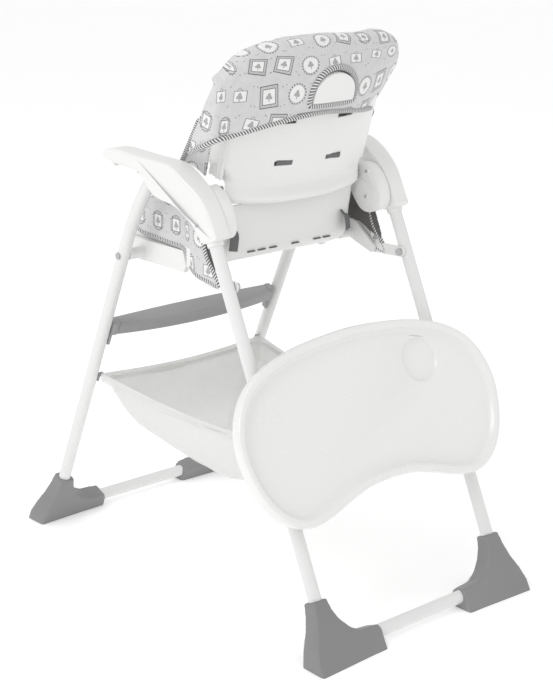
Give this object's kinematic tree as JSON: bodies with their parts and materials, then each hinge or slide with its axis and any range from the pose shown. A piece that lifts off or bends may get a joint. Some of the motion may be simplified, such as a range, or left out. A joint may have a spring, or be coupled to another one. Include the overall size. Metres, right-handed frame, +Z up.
{
  "type": "baby high chair",
  "caption": "Folding baby high chair on U-shaped tube legs, with a reclining padded seat, arms, footrest, storage basket and a lift-off tray hung on the rear legs.",
  "frame": {"origin": "on the floor, at the middle of the four feet", "axes": "+Z up, -Y towards the front where the child faces, +X to the child's left"},
  "size_m": [0.5764, 0.8414, 0.9402],
  "materials": {
    "bar_grey": "grey matte plastic",
    "boot_grey": "mid grey matte plastic",
    "button_grey": "grey matte plastic",
    "mesh_white": "off-white woven sling cloth",
    "pad_fabric": "light grey padded woven cloth",
    "print_fabric": "light grey woven cloth printed with small framed pictures",
    "shell_white": "white semi-gloss moulded plastic",
    "steel": "zinc-plated steel",
    "tray_white": "white gloss moulded plastic",
    "tube_white": "white powder-coated steel tube",
    "webbing_grey": "grey woven webbing"
  },
  "bodies": {
    "front_frame": {"front_leg_tube": "tube_white", "front_foot_left": "boot_grey", "front_foot_right": "boot_grey", "front_leg_plugs": "button_grey", "hub_bracket_left": "steel", "hub_bracket_right": "steel", "hub_pins": "steel", "front_rivets": "steel", "seat_shell": "shell_white", "seat_rail_left": "shell_white", "seat_rail_right": "shell_white", "seat_lug_left": "shell_white", "seat_lug_right": "shell_white", "seat_pad": "pad_fabric", "wing_left": "print_fabric", "wing_right": "print_fabric", "crotch_strap": "webbing_grey", "lap_straps": "webbing_grey", "buckle": "button_grey", "basket": "mesh_white", "basket_clips": "shell_white"},
    "rear_frame": {"rear_leg_tube": "tube_white", "rear_foot_left": "boot_grey", "rear_foot_right": "boot_grey", "arm_left": "shell_white", "arm_right": "shell_white", "hub_housing_left": "shell_white", "hub_housing_right": "shell_white", "housing_screws": "steel", "tray_hook_left": "button_grey", "tray_hook_right": "button_grey"},
    "latch_left": {"latch_bolt_left": "steel"},
    "latch_right": {"latch_bolt_right": "steel"},
    "side_link_left": {"link_left": "shell_white", "link_rivets_left": "steel"},
    "side_link_right": {"link_right": "shell_white", "link_rivets_right": "steel"},
    "back_rest": {"back_shell": "shell_white", "back_pad": "pad_fabric", "hood": "print_fabric", "shoulder_straps": "webbing_grey", "strap_keepers": "button_grey"},
    "recline_grip": {"recline_handle": "shell_white"},
    "foot_bar": {"footrest": "bar_grey"},
    "fold_grip": {"fold_handle": "button_grey"},
    "harness_button": {"buckle_button": "button_grey"},
    "tray": {"tray_base": "tray_white"},
    "tray_catch_left": {"tray_lever_left": "button_grey"},
    "tray_catch_right": {"tray_lever_right": "button_grey"},
    "tray_top": {"tray_insert": "tray_white"}
  },
  "joints": [
    {"name": "fold", "type": "hinge", "parent": "front_frame", "child": "rear_frame", "pos_m": [0, 0.056, 0.7], "axis": [-1, 0, 0], "range_deg": [0, 46], "deforming": ["basket"]},
    {"name": "link_swing_left", "type": "hinge", "parent": "rear_frame", "child": "side_link_left", "pos_m": [0.1864, 0.14197, 0.56], "axis": [-1, 0, 0], "range_deg": [0, 122]},
    {"name": "link_swing_right", "type": "hinge", "parent": "rear_frame", "child": "side_link_right", "pos_m": [-0.1864, 0.14197, 0.56], "axis": [-1, 0, 0], "range_deg": [0, 122]},
    {"name": "back_recline", "type": "hinge", "parent": "front_frame", "child": "back_rest", "pos_m": [0, 0.056, 0.7], "axis": [-1, 0, 0], "range_deg": [0, 15]},
    {"name": "recline_grip_pull", "type": "slide", "parent": "back_rest", "child": "recline_grip", "axis": [0, 0.2874, 0.9578], "range_m": [0, 0.008], "stiffness_N_per_m": 400},
    {"name": "footrest_height", "type": "slide", "parent": "front_frame", "child": "foot_bar", "axis": [0, -0.4131, -0.9107], "range_m": [0, 0.05]},
    {"name": "fold_grip_pull", "type": "slide", "parent": "front_frame", "child": "fold_grip", "axis": [0, 0, -1], "range_m": [0, 0.006], "stiffness_N_per_m": 400, "springref_m": -0.004},
    {"name": "harness_button_press", "type": "slide", "parent": "front_frame", "child": "harness_button", "axis": [0, 0, -1], "range_m": [0, 0.0018], "stiffness_N_per_m": 800},
    {"name": "latch_left_draw", "type": "slide", "parent": "rear_frame", "child": "latch_left", "axis": [-1, 0, 0], "range_m": [0, 0.006], "stiffness_N_per_m": 500},
    {"name": "latch_right_draw", "type": "slide", "parent": "rear_frame", "child": "latch_right", "axis": [1, 0, 0], "range_m": [0, 0.006], "stiffness_N_per_m": 500},
    {"name": "tray_lift_off", "type": "slide", "parent": "rear_frame", "child": "tray", "axis": [0, 0.9107, 0.4131], "range_m": [0, 0.15]},
    {"name": "tray_top_lift", "type": "slide", "parent": "tray", "child": "tray_top", "axis": [0, 0.9107, 0.4131], "range_m": [0, 0.12]},
    {"name": "tray_catch_left_pull", "type": "slide", "parent": "tray", "child": "tray_catch_left", "axis": [1, 0, 0], "range_m": [0, 0.008], "stiffness_N_per_m": 400},
    {"name": "tray_catch_right_pull", "type": "slide", "parent": "tray", "child": "tray_catch_right", "axis": [-1, 0, 0], "range_m": [0, 0.008], "stiffness_N_per_m": 400}
  ],
  "couplings": [
    {"joint": "link_swing_left", "follows": "fold", "ratio": 2.633},
    {"joint": "link_swing_right", "follows": "fold", "ratio": 2.633}
  ]
}
